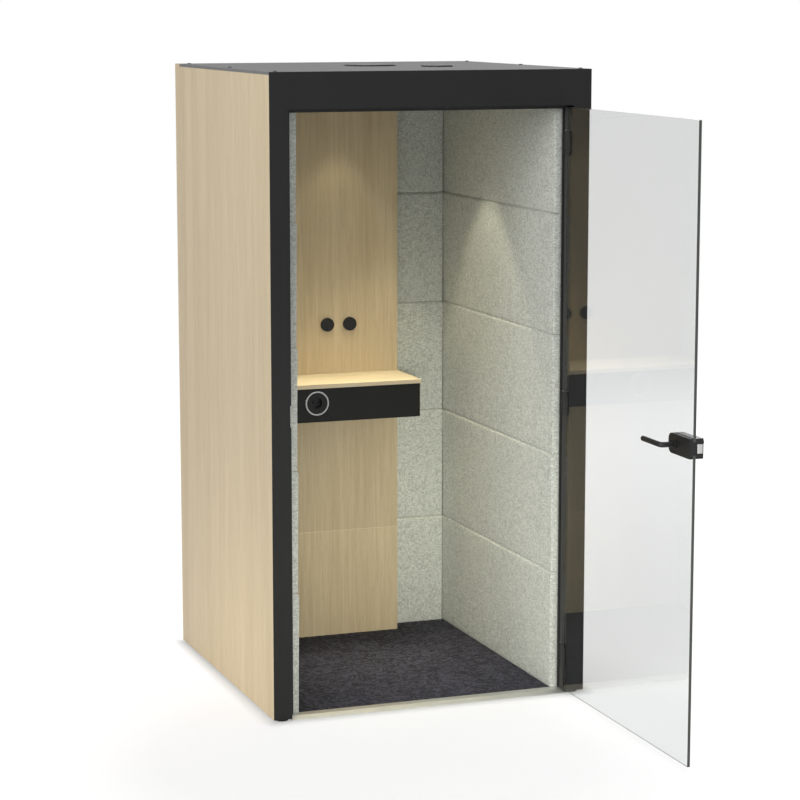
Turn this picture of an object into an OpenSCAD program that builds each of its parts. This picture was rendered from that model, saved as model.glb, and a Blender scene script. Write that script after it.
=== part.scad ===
// Acoustic office pod: a one-person cabin with a glass door, felt lining, a standing worktop,
// ceiling lights and a roof fan. Millimetres, +Z up, origin on the floor under the cabin's centre.
// +Y points into the cabin, and the door stands open at a right angle to the front.

/* [Cabin] */
// Outer width of the cabin
pod_w = 1176; // [1050:1:1500]
// Outer depth of the cabin, front face to back face
pod_d = 1196; // [1080:1:1500]
// Height from the floor to the roof's upper face
pod_h = 2238; // [2140:1:2500]
// Height of the walls' lower edge above the floor
foot_h = 8; // [5:0.5:15]
// Thickness of the wooden outer panels
panel_t = 18; // [12:0.5:24]
// Thickness of the insulated core in each side wall
core_t = 60; // [40:1:90]
// Thickness of the rear wall's core board
rear_core_t = 12; // [8:0.5:20]
// Depth of the rear panel's side returns
rear_return = 62; // [48:1:90]
// Thickness of the roof sheet
roof_t = 10; // [6:0.5:16]
// Thickness of the ceiling panel
ceiling_t = 12; // [8:0.5:18]
// Clear height from the base plate to the ceiling
ceiling_h = 2155; // [2060:1:2165]

/* [Felt pads] */
// Thickness of the felt pads on the side walls
pad_t = 36; // [20:1:50]
// Thickness of the felt pads on the rear wall
rear_pad_t = 30; // [20:1:40]
// Rows of pads, floor to ceiling
pad_rows = 5; // [3:1:5]
// Open joint between two rows
pad_gap = 2; // [1:0.5:5]
// Rounding of the pads' edges
pad_r = 7; // [3:0.5:12]
// Thickness of the carpet
carpet_t = 5; // [3:0.5:9]

/* [Front frame] */
// Face width of an upright
jamb_w = 66; // [55:1:90]
// Depth of the frame's profile
frame_d = 58; // [52:1:80]
// Thickness of the face flange that covers the outer panels' edges
flange_t = 3; // [2:0.5:5]
// Face height of the head beam
head_h = 126; // [100:1:180]
// Width of the door stop on the uprights
stop_w = 18; // [14:0.5:24]
// Drop of the door stop under the head beam
head_stop = 12; // [10:0.5:20]
// Thickness of the door stop
stop_t = 13; // [8:0.5:16]
// Width of the rubber seal on the stop
seal_w = 10; // [6:0.5:12]
// Height of the threshold's flat top
threshold_h = 12; // [6:0.5:13]

/* [Door] */
// Thickness of the glass
glass_t = 10; // [8:0.5:12]
// Distance of the hinge axis from the upright's reveal
hinge_set = 12; // [12:0.5:16]
// Gap between the glass and the strike upright
strike_gap = 5; // [5:0.5:8]
// Gap between the glass and the head beam
door_top_gap = 7; // [4:0.5:10]
// Gap between the glass and the floor
door_floor_gap = 15; // [14:0.5:25]

/* [Hinges] */
// Height of a hinge
hinge_h = 86; // [70:1:110]
// Reach of a hinge plate along the glass
hinge_reach = 48; // [42:1:90]
// Thickness of a hinge plate
hinge_plate_t = 3; // [2:0.5:3]
// Radius of a hinge knuckle
knuckle_r = 8; // [6.5:0.5:8.5]
// Radius of a hinge pin
pin_r = 4; // [3:0.25:5]
// Chamfer at a hinge plate's corners
hinge_chamfer = 10; // [6:1:18]
// Height of the lowest hinge's middle
hinge_low_z = 138; // [100:1:250]
// Height of the middle hinge's middle
hinge_mid_z = 1058; // [800:1:1300]
// Height of the top hinge's middle
hinge_top_z = 1981; // [1700:1:2040]

/* [Lock and levers] */
// Height of the lock's middle
lock_z = 1064; // [950:1:1150]
// Length of the lock case along the glass
lock_l = 152; // [140:1:190]
// Height of the lock case
lock_h = 66; // [60:1:90]
// Thickness of the lock's inner cover
lock_inner_t = 12; // [9:0.5:16]
// Thickness of the lock's outer body
lock_outer_t = 27; // [25:0.5:28]
// Distance of the lever's spindle from the glass edge
backset = 104; // [90:1:118]
// Length of a lever's neck from the lock's face
neck_l = 50; // [45:1:70]
// Length of a lever's grip
grip_l = 131; // [100:1:150]
// Radius of a lever's grip and neck
grip_r = 9; // [7:0.25:9]
// Width of the latch bolt
bolt_w = 17; // [12:0.5:18]
// Height of the latch bolt
bolt_h = 30; // [20:1:36]
// Throw of the latch bolt out of the lock case
bolt_throw = 4; // [2:0.5:4]

/* [Service duct and worktop] */
// Depth of the service duct in front of the rear wall
duct_d = 116; // [90:1:200]
// Distance of the duct's free edge from the cabin's middle
duct_edge = 250; // [150:1:350]
// Thickness of the duct's wooden boards
board_t = 18; // [12:0.5:22]
// Height of the seam between the duct's two boards
duct_seam_z = 428; // [300:1:600]
// Height of the worktop's upper face
worktop_z = 1049; // [980:1:1100]
// Thickness of the worktop
worktop_t = 15; // [12:0.5:30]
// Depth of the worktop in front of the duct
worktop_d = 258; // [220:1:320]
// Height of the black box under the worktop
box_h = 128; // [115:1:180]
// Setback of the box behind the worktop's edges
box_inset = 3; // [1:0.5:10]
// Sheet thickness of the box
box_t = 3; // [2:0.5:4]
// Distance of the power socket from the cabin's middle
socket_x = 164; // [0:1:300]
// Outer radius of the socket's bright ring
socket_r = 46; // [40:1:50]
// Width of the socket's bright ring
ring_w = 5.5; // [4:0.5:9]
// Height of the two control knobs
knob_z = 1240; // [1150:1:1500]
// Radius of a control knob
knob_r = 26; // [18:0.5:32]
// Thickness of a control knob
knob_t = 11; // [8:0.5:16]
// Spacing of the two knobs
knob_pitch = 91; // [70:1:140]
// Distance of the knobs' middle from the cabin's middle
knob_mid_x = 7; // [-60:1:80]

/* [Ceiling and roof] */
// Distance of the ceiling lights' middle and the fan in front of the duct
lamp_set = 397; // [380:1:420]
// Radius of the ring of ceiling lights
lamp_ring_r = 240; // [200:1:280]
// Number of ceiling lights
lamp_count = 4; // [3:1:6]
// Radius of a ceiling light's rim
lamp_r = 40; // [30:1:50]
// Radius of the fan's bore
fan_r = 73; // [60:1:85]
// Number of fan blades
blade_count = 7; // [5:1:11]
// Radius of the fan's roof cover
fan_cover_r = 95; // [90:1:120]
// Radius of the air inlet in the roof
inlet_r = 40; // [25:1:55]
// Place of the air inlet, to the right of the middle
inlet_x = 190; // [180:1:230]
// Distance of the air inlet in front of the lights' middle
inlet_set = 185; // [155:1:255]

/* [Hidden] */
$fn = 64;
run_gap = 0.05;
press_gap = 0.02;
clear_gap = 0.3;
bare_gap = 0.5;

half_w = pod_w / 2;
front_y = -pod_d / 2;
back_y = pod_d / 2;
panel_in_x = half_w - panel_t;
core_in_x = panel_in_x - core_t;
pad_face_x = core_in_x - pad_t;
rear_core_y = back_y - panel_t;
rear_pad_y = rear_core_y - rear_core_t;
rear_face_y = rear_pad_y - rear_pad_t;
return_y = back_y - rear_return;
lining_y = front_y + frame_d;
roof_z = pod_h - roof_t;
ceiling_z = foot_h + ceiling_h;
pad_pitch = ceiling_h / pad_rows;

reveal_x = half_w - jamb_w;
stop_x = reveal_x - stop_w;
stop_y = lining_y - stop_t;
head_z = pod_h - head_h;
seal_inset = (stop_w - seal_w) / 3;
seal_x = stop_x + seal_inset;
seal_t = 4.5;

axis_x = reveal_x - hinge_set;
axis_y = stop_y - seal_t - bare_gap - glass_t / 2;
door_reach = axis_x + reveal_x - strike_gap;
glass_top = head_z - door_top_gap;
hinge_zs = [hinge_low_z, hinge_mid_z, hinge_top_z];
hinge_slack = 2;
plate_start = knuckle_r + hinge_slack;
knuckle_mid_h = hinge_h * 0.37;
notch_h = hinge_h * 0.7;
notch_reach = plate_start + 22;
leaf_t = 3;
leaf_front = 23;
leaf_back = knuckle_r;
web_half = 6;
screw_r = 3.2;
screw_l = 20;

lock_round = 22;
lock_notch_l = backset + 16;
lock_notch_h = lock_h - 22;
spindle_s = door_reach - backset;
spindle_w = 8;
hub_r = 9;
hub_l = 9;
rose_r = 13;
rose_t = 4;
bolt_in = 5;
bolt_tail = 55;
bolt_nose = 3;

duct_y = rear_pad_y - duct_d;
seam_half = 1;
worktop_y = duct_y - worktop_d;
worktop_edge = duct_edge + 2;
box_y = worktop_y + box_inset;
box_top = worktop_z - worktop_t;
box_z = box_top - box_h;
socket_z = box_top - 56;
socket_bore = socket_r - ring_w;
socket_d = 34;
recess_r = 19.5;
recess_d = 17.5;
contact_r = 2.5;
contact_d = 12;
contact_pitch = 19;
shaft_r = 3;
knob_xs = [knob_mid_x - knob_pitch / 2, knob_mid_x + knob_pitch / 2];

lamp_y = duct_y - lamp_set;
inlet_y = lamp_y - inlet_set;
lamp_rim_t = 2;
lamp_wall = 4;
lamp_can_r = lamp_r - 5;
lamp_can_h = ceiling_t + 20;
lens_t = 3;
lens_up = 5;
fan_side = 2 * fan_r + 14;
fan_h = 38;
fan_bar = 7;
fan_z = ceiling_z + ceiling_t;
hub_fan_r = 26;
blade_h = 20;
cover_lift = 2.5;
cover_t = 2.5;
post_r = 5;
post_count = 6;
inlet_cover_r = inlet_r + 20;
grille_t = 2.5;
grille_lip = 8;
roof_screw_r = 7;
roof_screw_h = 3.5;

foot_r = 22;
stud_r = 5;
stud_l = 30;
foot_x = half_w - jamb_w / 2 - 4;
foot_y = front_y + frame_d / 2;

wood = "burlywood";
black = [0.17, 0.17, 0.18];
felt = [0.68, 0.69, 0.67];
steel = "silver";

// A box from its lowest corner to its highest corner
module block(low, high) {
    translate(low) cube(high - low);
}

// A piece of the right wall, turned over to the left wall
module on_left() {
    mirror([1, 0, 0]) children();
}

// An outline in Y and Z, given a thickness along +X
module slab_x(t) {
    rotate([90, 0, 90]) linear_extrude(t) children();
}

// A cylinder along +X
module rod_x(r, l) {
    rotate([0, 90, 0]) cylinder(r = r, h = l);
}

// A cylinder along +Y
module rod_y(r, l) {
    rotate([-90, 0, 0]) cylinder(r = r, h = l);
}

// Door pieces are drawn about the hinge axis: -Y runs along the glass, +X is the door's outer side
module on_door(z = 0) {
    translate([axis_x, axis_y, z]) children();
}

module at_hinges() {
    for (z = hinge_zs) on_door(z) children();
}

// An outline whose two corners on the far side of x are round
module round_front(depth, l, r) {
    square([depth - r, l]);
    translate([0, r]) square([depth, l - 2 * r]);
    for (y = [r, l - r]) translate([depth - r, y]) circle(r);
}

// A felt pad on a wall at x = 0, with its face towards +X and soft edges all round
module pad(depth, l, h) {
    intersection() {
        translate([0, l, 0]) rotate([90, 0, 0]) linear_extrude(l) round_front(depth, h, pad_r);
        linear_extrude(h) round_front(depth, l, pad_r);
    }
}

module side_pad(row) {
    color(felt) translate([-core_in_x, lining_y, foot_h + (row - 1) * pad_pitch])
        pad(pad_t, rear_pad_y - lining_y, pad_pitch - pad_gap);
}

module rear_pad(row) {
    color(felt) translate([duct_edge, rear_pad_y, foot_h + (row - 1) * pad_pitch]) rotate([0, 0, -90])
        pad(rear_pad_t, pad_face_x - duct_edge, pad_pitch - pad_gap);
}

module base_plate() {
    color(black) block([-panel_in_x, lining_y, 0], [panel_in_x, rear_core_y, foot_h]);
}

module carpet() {
    color([0.22, 0.21, 0.23]) {
        block([-pad_face_x, lining_y, foot_h], [pad_face_x, duct_y, foot_h + carpet_t]);
        block([duct_edge, duct_y, foot_h], [pad_face_x, rear_face_y, foot_h + carpet_t]);
    }
}

module threshold() {
    ramp = frame_d * 0.42;
    toe = 3;
    color(steel) translate([-reveal_x, 0, 0]) slab_x(2 * reveal_x)
        polygon([[front_y, 0], [lining_y, 0], [lining_y, threshold_h],
                 [front_y + ramp, threshold_h], [front_y, toe]]);
}

module front_feet() {
    color(black) for (x = [-foot_x, foot_x]) translate([x, foot_y, 0]) {
        cylinder(r = foot_r, h = foot_h);
        cylinder(r = stud_r, h = foot_h + stud_l);
    }
}

// Right upright: face flange, tube behind it and door stop, cut for a foot's stud
module upright() {
    difference() {
        union() {
            block([reveal_x, front_y, foot_h], [half_w, front_y + flange_t, head_z]);
            block([reveal_x, front_y, foot_h], [panel_in_x, lining_y, head_z]);
            block([stop_x, stop_y, threshold_h], [reveal_x, lining_y, head_z]);
        }
        translate([foot_x, foot_y, foot_h - 1]) cylinder(r = stud_r + press_gap, h = stud_l + 1);
    }
}

module right_jamb() {
    color(black) difference() {
        upright();
        at_hinges() {
            block([hinge_set - 1, -leaf_front, -hinge_h / 2], [hinge_set + leaf_t, leaf_back, hinge_h / 2]);
            hinge_screw_holes();
        }
    }
}

module left_jamb() {
    notch = lock_h / 2 + 5;
    color(black) difference() {
        on_left() upright();
        block([-reveal_x - 0.5, stop_y - 1, lock_z - notch], [-stop_x + 1, lining_y + 1, lock_z + notch]);
        strike_shape();
    }
}

module head_beam() {
    color(black) {
        block([-half_w, front_y, head_z], [half_w, front_y + flange_t, pod_h]);
        block([-panel_in_x, front_y, head_z], [panel_in_x, lining_y, roof_z]);
        block([-stop_x, stop_y, head_z - head_stop], [stop_x, lining_y, head_z]);
    }
}

// Rubber seal on the stop's front, open at the hinges and at the lock
module door_seal() {
    seal_y = stop_y - seal_t;
    head_low = head_z - head_stop + 1;
    gap = 3;
    color([0.1, 0.1, 0.1]) difference() {
        union() {
            for (x = [-seal_x - seal_w, seal_x])
                block([x, seal_y, threshold_h + gap], [x + seal_w, stop_y, head_low]);
            block([-seal_x - seal_w, seal_y, head_low], [seal_x + seal_w, stop_y, head_low + seal_w]);
        }
        for (z = hinge_zs) block([seal_x - 1, seal_y - 1, z - hinge_h / 2 - gap],
                                 [seal_x + seal_w + 1, stop_y + 1, z + hinge_h / 2 + gap]);
        block([-seal_x - seal_w - 1, seal_y - 1, lock_z - lock_h / 2 - 2 * gap],
              [-seal_x + 1, stop_y + 1, lock_z + lock_h / 2 + 2 * gap]);
    }
}

// Steel keeper plate let in flush with the left upright's reveal
module strike_shape() {
    strike_t = 2;
    mid_y = axis_y - glass_t / 2 - bolt_in - bolt_w / 2;
    block([-reveal_x - strike_t, mid_y - bolt_w / 2 - 3, lock_z - 40],
          [-reveal_x, mid_y + bolt_w / 2 + 3, lock_z + 40]);
}

module strike_plate() {
    color(steel) strike_shape();
}

module side_panel() {
    color(wood) block([panel_in_x, front_y + flange_t, foot_h], [half_w, return_y, roof_z]);
}

module rear_outer_panel() {
    color(wood) {
        block([-half_w, rear_core_y, foot_h], [half_w, back_y, pod_h]);
        block([panel_in_x, return_y, foot_h], [half_w, back_y, pod_h]);
        block([-half_w, return_y, foot_h], [-panel_in_x, back_y, pod_h]);
    }
}

module side_core() {
    color([0.75, 0.7, 0.55]) block([core_in_x, lining_y, foot_h], [panel_in_x, rear_pad_y, roof_z]);
}

module rear_wall_core() {
    color([0.75, 0.7, 0.55]) block([-panel_in_x, rear_pad_y, foot_h], [panel_in_x, rear_core_y, roof_z]);
}

module roof_panel() {
    color([0.45, 0.45, 0.46]) difference() {
        union() {
            block([-half_w, front_y + flange_t, roof_z], [half_w, return_y, pod_h]);
            block([-panel_in_x, return_y - 1, roof_z], [panel_in_x, rear_core_y, pod_h]);
        }
        translate([0, lamp_y, roof_z - 1]) cylinder(r = fan_r, h = roof_t + 2);
        translate([inlet_x, inlet_y, roof_z - 1]) cylinder(r = inlet_r, h = roof_t + 2);
    }
}

module roof_screws() {
    inset = 30;
    color(black) for (x = [-half_w + inset, half_w - inset])
        for (y = [front_y + inset, (front_y + return_y) / 2, return_y - inset])
            translate([x, y, pod_h]) cylinder(r = roof_screw_r, h = roof_screw_h);
}

// Low round cap on posts, which leaves a slot for the air all round
module roof_cap(r) {
    color([0.3, 0.3, 0.31]) {
        translate([0, 0, pod_h + cover_lift]) cylinder(r = r, h = cover_t);
        for (i = [0:post_count - 1]) rotate(i * 360 / post_count)
            translate([r - post_r - 1, 0, pod_h]) cylinder(r = post_r, h = cover_lift + 1);
    }
}

module roof_covers() {
    translate([0, lamp_y, 0]) roof_cap(fan_cover_r);
    translate([inlet_x, inlet_y, 0]) roof_cap(inlet_cover_r);
}

module at_lamps() {
    for (i = [0:lamp_count - 1]) translate([0, lamp_y, ceiling_z])
        rotate(90 + i * 360 / lamp_count) translate([lamp_ring_r, 0, 0]) children();
}

module ceiling_panel() {
    color("white") difference() {
        block([-core_in_x, lining_y, ceiling_z], [core_in_x, rear_pad_y, ceiling_z + ceiling_t]);
        translate([0, lamp_y, ceiling_z - 1]) cylinder(r = fan_r, h = ceiling_t + 2);
        translate([inlet_x, inlet_y, ceiling_z - 1]) cylinder(r = inlet_r, h = ceiling_t + 2);
        at_lamps() translate([0, 0, -1]) cylinder(r = lamp_can_r + press_gap, h = ceiling_t + 2);
    }
}

// Round grille under an air hole, with straight slots
module grille(r) {
    slot_w = 6;
    pitch = 11;
    rows = floor((r - 6) / pitch);
    color("white") translate([0, 0, ceiling_z - grille_t]) difference() {
        cylinder(r = r + grille_lip, h = grille_t);
        for (i = [-rows:rows]) {
            half = sqrt(r * r - pow(pitch * i, 2)) - 3;
            block([-half, pitch * i - slot_w / 2, -1], [half, pitch * i + slot_w / 2, grille_t + 1]);
        }
    }
}

module ceiling_grilles() {
    translate([0, lamp_y, 0]) grille(fan_r);
    translate([inlet_x, inlet_y, 0]) grille(inlet_r);
}

module downlight_cans() {
    color("white") at_lamps() difference() {
        union() {
            translate([0, 0, -lamp_rim_t]) cylinder(r = lamp_r, h = lamp_rim_t);
            cylinder(r = lamp_can_r, h = lamp_can_h);
        }
        translate([0, 0, -lamp_rim_t - 1]) cylinder(r = lamp_can_r - lamp_wall, h = lamp_can_h - 1);
    }
}

module downlight_lenses() {
    color("lightyellow") at_lamps() translate([0, 0, lens_up])
        cylinder(r = lamp_can_r - lamp_wall - press_gap, h = lens_t);
}

// Square fan body with a round duct, and a fixed spindle on two crossbars
module fan_housing() {
    color(black) translate([0, lamp_y, fan_z]) {
        difference() {
            block([-fan_side / 2, -fan_side / 2, 0], [fan_side / 2, fan_side / 2, fan_h]);
            translate([0, 0, -1]) cylinder(r = fan_r, h = fan_h + 2);
        }
        block([-fan_r - 2, -fan_bar / 2, 0], [fan_r + 2, fan_bar / 2, fan_bar]);
        block([-fan_bar / 2, -fan_r - 2, 0], [fan_bar / 2, fan_r + 2, fan_bar]);
        cylinder(r = shaft_r, h = fan_bar + blade_h + 4);
    }
}

module fan_rotor() {
    blade_t = 2.5;
    blade_tilt = 32;
    tip_gap = 3;
    color([0.25, 0.25, 0.26]) translate([0, lamp_y, fan_z + fan_bar + bare_gap]) difference() {
        union() {
            cylinder(r = hub_fan_r, h = blade_h);
            intersection() {
                cylinder(r = fan_r - tip_gap, h = blade_h);
                for (i = [0:blade_count - 1]) rotate(i * 360 / blade_count)
                    translate([hub_fan_r - 4, 0, blade_h / 2]) rotate([blade_tilt, 0, 0])
                        block([0, -blade_h, -blade_t / 2], [fan_r, blade_h, blade_t / 2]);
            }
        }
        translate([0, 0, -1]) cylinder(r = shaft_r + run_gap, h = blade_h + 2);
    }
}

module duct_front_upper() {
    color(wood) difference() {
        block([-pad_face_x, duct_y, duct_seam_z + seam_half], [duct_edge, duct_y + board_t, ceiling_z]);
        for (x = knob_xs) translate([x, duct_y - 1, knob_z]) rod_y(shaft_r + run_gap, board_t + 2);
    }
}

module duct_front_lower() {
    color(wood) block([-pad_face_x, duct_y, foot_h],
                      [duct_edge, duct_y + board_t, duct_seam_z - seam_half]);
}

module duct_side() {
    color(wood) block([duct_edge - board_t, duct_y + board_t, foot_h], [duct_edge, rear_pad_y, ceiling_z]);
}

module worktop() {
    color(wood) block([-pad_face_x, worktop_y, worktop_z - worktop_t], [worktop_edge, duct_y, worktop_z]);
}

// Folded sheet box under the worktop, open towards the worktop and the duct
module worktop_box() {
    left = -pad_face_x;
    right = worktop_edge - box_inset;
    color(black) difference() {
        block([left, box_y, box_z], [right, duct_y, box_top]);
        block([left + box_t, box_y + box_t, box_z + box_t], [right - box_t, duct_y + 1, box_top + 1]);
        translate([-socket_x, box_y - 1, socket_z]) rod_y(socket_bore, box_t + 2);
    }
}

module socket_ring() {
    proud = 3;
    color(steel) translate([-socket_x, box_y - proud, socket_z]) difference() {
        rod_y(socket_r, proud);
        translate([0, -1, 0]) rod_y(socket_bore, proud + 2);
    }
}

module socket_insert() {
    color(black) translate([-socket_x, box_y - 1, socket_z]) difference() {
        rod_y(socket_bore - press_gap, socket_d);
        translate([0, -1, 0]) rod_y(recess_r, recess_d + 1);
        for (x = [-contact_pitch / 2, contact_pitch / 2])
            translate([x, 0, 0]) rod_y(contact_r, recess_d + contact_d);
    }
}

// Control knob with a pointer groove and its shaft through the board
module knob(i) {
    mark_w = 2;
    mark_l = 12;
    mark_d = 1.2;
    color(black) translate([knob_xs[i], duct_y, knob_z]) difference() {
        union() {
            translate([0, -clear_gap - knob_t, 0]) rod_y(knob_r, knob_t);
            translate([0, -clear_gap - 1, 0]) rod_y(shaft_r, board_t + clear_gap + 5);
        }
        block([-mark_w / 2, -clear_gap - knob_t - 1, knob_r - mark_l - 2],
              [mark_w / 2, -clear_gap - knob_t + mark_d, knob_r - 2]);
    }
}

module hinge_screw_places() {
    for (z = [-hinge_h / 3, hinge_h / 3]) translate([hinge_set, -leaf_front + 9, z]) children();
}

module hinge_screw_holes() {
    hinge_screw_places() rod_x(screw_r, screw_l + press_gap);
}

// Leaf let into the reveal, with an outer knuckle above and below the door's knuckle
module hinge_frame_leaves() {
    color(black) at_hinges() difference() {
        union() {
            block([hinge_set, -leaf_front, -hinge_h / 2], [hinge_set + leaf_t, leaf_back, hinge_h / 2]);
            for (side = [0, 1]) mirror([0, 0, side]) {
                low = knuckle_mid_h / 2 + bare_gap;
                translate([0, 0, low]) cylinder(r = knuckle_r, h = hinge_h / 2 - low);
                block([0, -web_half, low], [hinge_set, web_half, hinge_h / 2]);
            }
        }
        translate([0, 0, -hinge_h]) cylinder(r = pin_r + press_gap, h = 2 * hinge_h);
        hinge_screw_holes();
    }
}

module hinge_pins() {
    cap = 2;
    color(steel) at_hinges() {
        translate([0, 0, -hinge_h / 2]) cylinder(r = pin_r, h = hinge_h);
        translate([0, 0, hinge_h / 2]) cylinder(r = pin_r + 1.5, h = cap);
    }
}

module hinge_screws() {
    color(steel) at_hinges() hinge_screw_places() rod_x(screw_r - press_gap, screw_l);
}

// Hinge plate's outline along the glass, with its far corners cut off
module plate_outline() {
    far = -hinge_reach;
    half = hinge_h / 2;
    polygon([[-plate_start, -half], [-plate_start, half], [far + hinge_chamfer, half],
             [far, half - hinge_chamfer], [far, hinge_chamfer - half], [far + hinge_chamfer, -half]]);
}

// Door leaf: knuckle, arm, the core that fills the notch in the glass, and the inner plate
module hinge_door_leaves() {
    core_end = -notch_reach + clear_gap;
    core_half = notch_h / 2 - clear_gap;
    color(black) at_hinges() difference() {
        union() {
            translate([0, 0, -knuckle_mid_h / 2]) cylinder(r = knuckle_r, h = knuckle_mid_h);
            block([-glass_t / 2, -plate_start - 1, -knuckle_mid_h / 2], [glass_t / 2, 0, knuckle_mid_h / 2]);
            block([-glass_t / 2, core_end, -core_half], [glass_t / 2, -plate_start, core_half]);
            translate([-glass_t / 2 - hinge_plate_t, 0, 0]) slab_x(hinge_plate_t) plate_outline();
        }
        translate([0, 0, -hinge_h]) cylinder(r = pin_r + run_gap, h = 2 * hinge_h);
    }
}

module hinge_outer_plates() {
    color(black) at_hinges() translate([glass_t / 2, 0, 0]) slab_x(hinge_plate_t) plate_outline();
}

// Toughened glass, notched round the hinges and under the lock
module door_glass() {
    color([0.8, 0.88, 0.86, 0.35]) difference() {
        on_door() block([-glass_t / 2, -door_reach, door_floor_gap], [glass_t / 2, 0, glass_top]);
        at_hinges() {
            block([-glass_t, -plate_start, -hinge_h / 2 - hinge_slack],
                  [glass_t, 1, hinge_h / 2 + hinge_slack]);
            block([-glass_t, -notch_reach, -notch_h / 2], [glass_t, 1, notch_h / 2]);
        }
        on_door(lock_z) block([-glass_t, -door_reach - 1, -lock_notch_h / 2],
                              [glass_t, -door_reach + lock_notch_l, lock_notch_h / 2]);
    }
}

// Lock outline along the glass, round at the hinge end
module lock_outline() {
    translate([-door_reach, -lock_h / 2]) round_front(lock_l, lock_h, lock_round);
}

module spindle_bore() {
    translate([-60, -spindle_s, 0]) rod_x(hub_r + run_gap, 120);
}

module lock_inner_cover() {
    color(black) on_door(lock_z) difference() {
        translate([-glass_t / 2 - lock_inner_t, 0, 0]) slab_x(lock_inner_t) lock_outline();
        spindle_bore();
    }
}

// Outer lock body with the core that fills the glass notch and the latch's channel
module lock_outer_body() {
    side = glass_t / 2;
    core_half = lock_notch_h / 2 - clear_gap;
    channel = bolt_tail + 2 * bolt_throw;
    color(black) on_door(lock_z) difference() {
        union() {
            translate([side, 0, 0]) slab_x(lock_outer_t) lock_outline();
            block([-side, -door_reach, -core_half],
                  [side + 1, -door_reach + lock_notch_l - clear_gap, core_half]);
        }
        spindle_bore();
        block([side + bolt_in - clear_gap, -door_reach - 1, -bolt_h / 2 - clear_gap],
              [side + bolt_in + bolt_w + clear_gap, -door_reach + channel, bolt_h / 2 + clear_gap]);
    }
}

// Lever towards +X from a lock face at x = 0: hub in the lock, rose, neck, bend and grip
module lever() {
    rose_x = clear_gap;
    translate([-hub_l, 0, 0]) rod_x(hub_r, hub_l + rose_x + 1);
    translate([rose_x, 0, 0]) rod_x(rose_r, rose_t);
    rod_x(grip_r, neck_l);
    translate([neck_l, 0, 0]) {
        sphere(grip_r);
        rod_y(grip_r, grip_l);
        translate([0, grip_l, 0]) sphere(grip_r);
    }
}

module spindle_shape(gap) {
    half = spindle_w / 2 + gap;
    low = -glass_t / 2 - lock_inner_t - 2;
    high = glass_t / 2 + lock_outer_t + 2;
    translate([0, -spindle_s, 0]) block([low - gap, -half, -half], [high + gap, half, half]);
}

module lever_inner() {
    color(black) on_door(lock_z) difference() {
        translate([-glass_t / 2 - lock_inner_t, -spindle_s, 0]) mirror([1, 0, 0]) lever();
        spindle_shape(press_gap);
    }
}

module lever_outer() {
    color(black) on_door(lock_z) difference() {
        translate([glass_t / 2 + lock_outer_t, -spindle_s, 0]) lever();
        spindle_shape(press_gap);
    }
}

module lever_spindle() {
    color(steel) on_door(lock_z) spindle_shape(0);
}

// Magnetic latch bolt, bevelled on its inner side
module latch_bolt() {
    nose = -door_reach - bolt_throw;
    low = glass_t / 2 + bolt_in;
    color(steel) on_door(lock_z - bolt_h / 2) linear_extrude(bolt_h)
        polygon([[low, -door_reach + bolt_tail], [low, nose + bolt_nose], [low + bolt_nose, nose],
                 [low + bolt_w, nose], [low + bolt_w, -door_reach + bolt_tail]]);
}

base_plate();
carpet();
threshold();
front_feet();
left_jamb();
right_jamb();
head_beam();
door_seal();
strike_plate();
on_left() side_panel();  // left_outer_panel
side_panel();  // right_outer_panel
rear_outer_panel();
on_left() side_core();  // left_wall_core
side_core();  // right_wall_core
rear_wall_core();
roof_panel();
roof_screws();
roof_covers();
ceiling_panel();
ceiling_grilles();
downlight_cans();
downlight_lenses();
fan_housing();
fan_rotor();
duct_front_upper();
duct_front_lower();
duct_side();
worktop();
worktop_box();
socket_ring();
socket_insert();
knob(0);  // light_knob
knob(1);  // fan_knob
hinge_frame_leaves();
hinge_pins();
hinge_screws();
door_glass();
hinge_door_leaves();
hinge_outer_plates();
lock_inner_cover();
lock_outer_body();
lever_inner();
lever_outer();
lever_spindle();
latch_bolt();
for (row = [1:pad_rows]) {
    side_pad(row);
    on_left() side_pad(row);
    rear_pad(row);
}
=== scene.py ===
# %% [markdown]
# # An acoustic office pod
#
# The packed CAD model gives every hard piece of a one-person pod: wooden shell, black front frame, glass
# door, worktop and lights. This lesson lights it, gives each piece its finish, and makes the soft pieces
# anew: the felt pads and the carpet. The model is a fixed frame, so pieces are added to it and never move
# it.

# %% Load the packed model
import math

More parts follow.
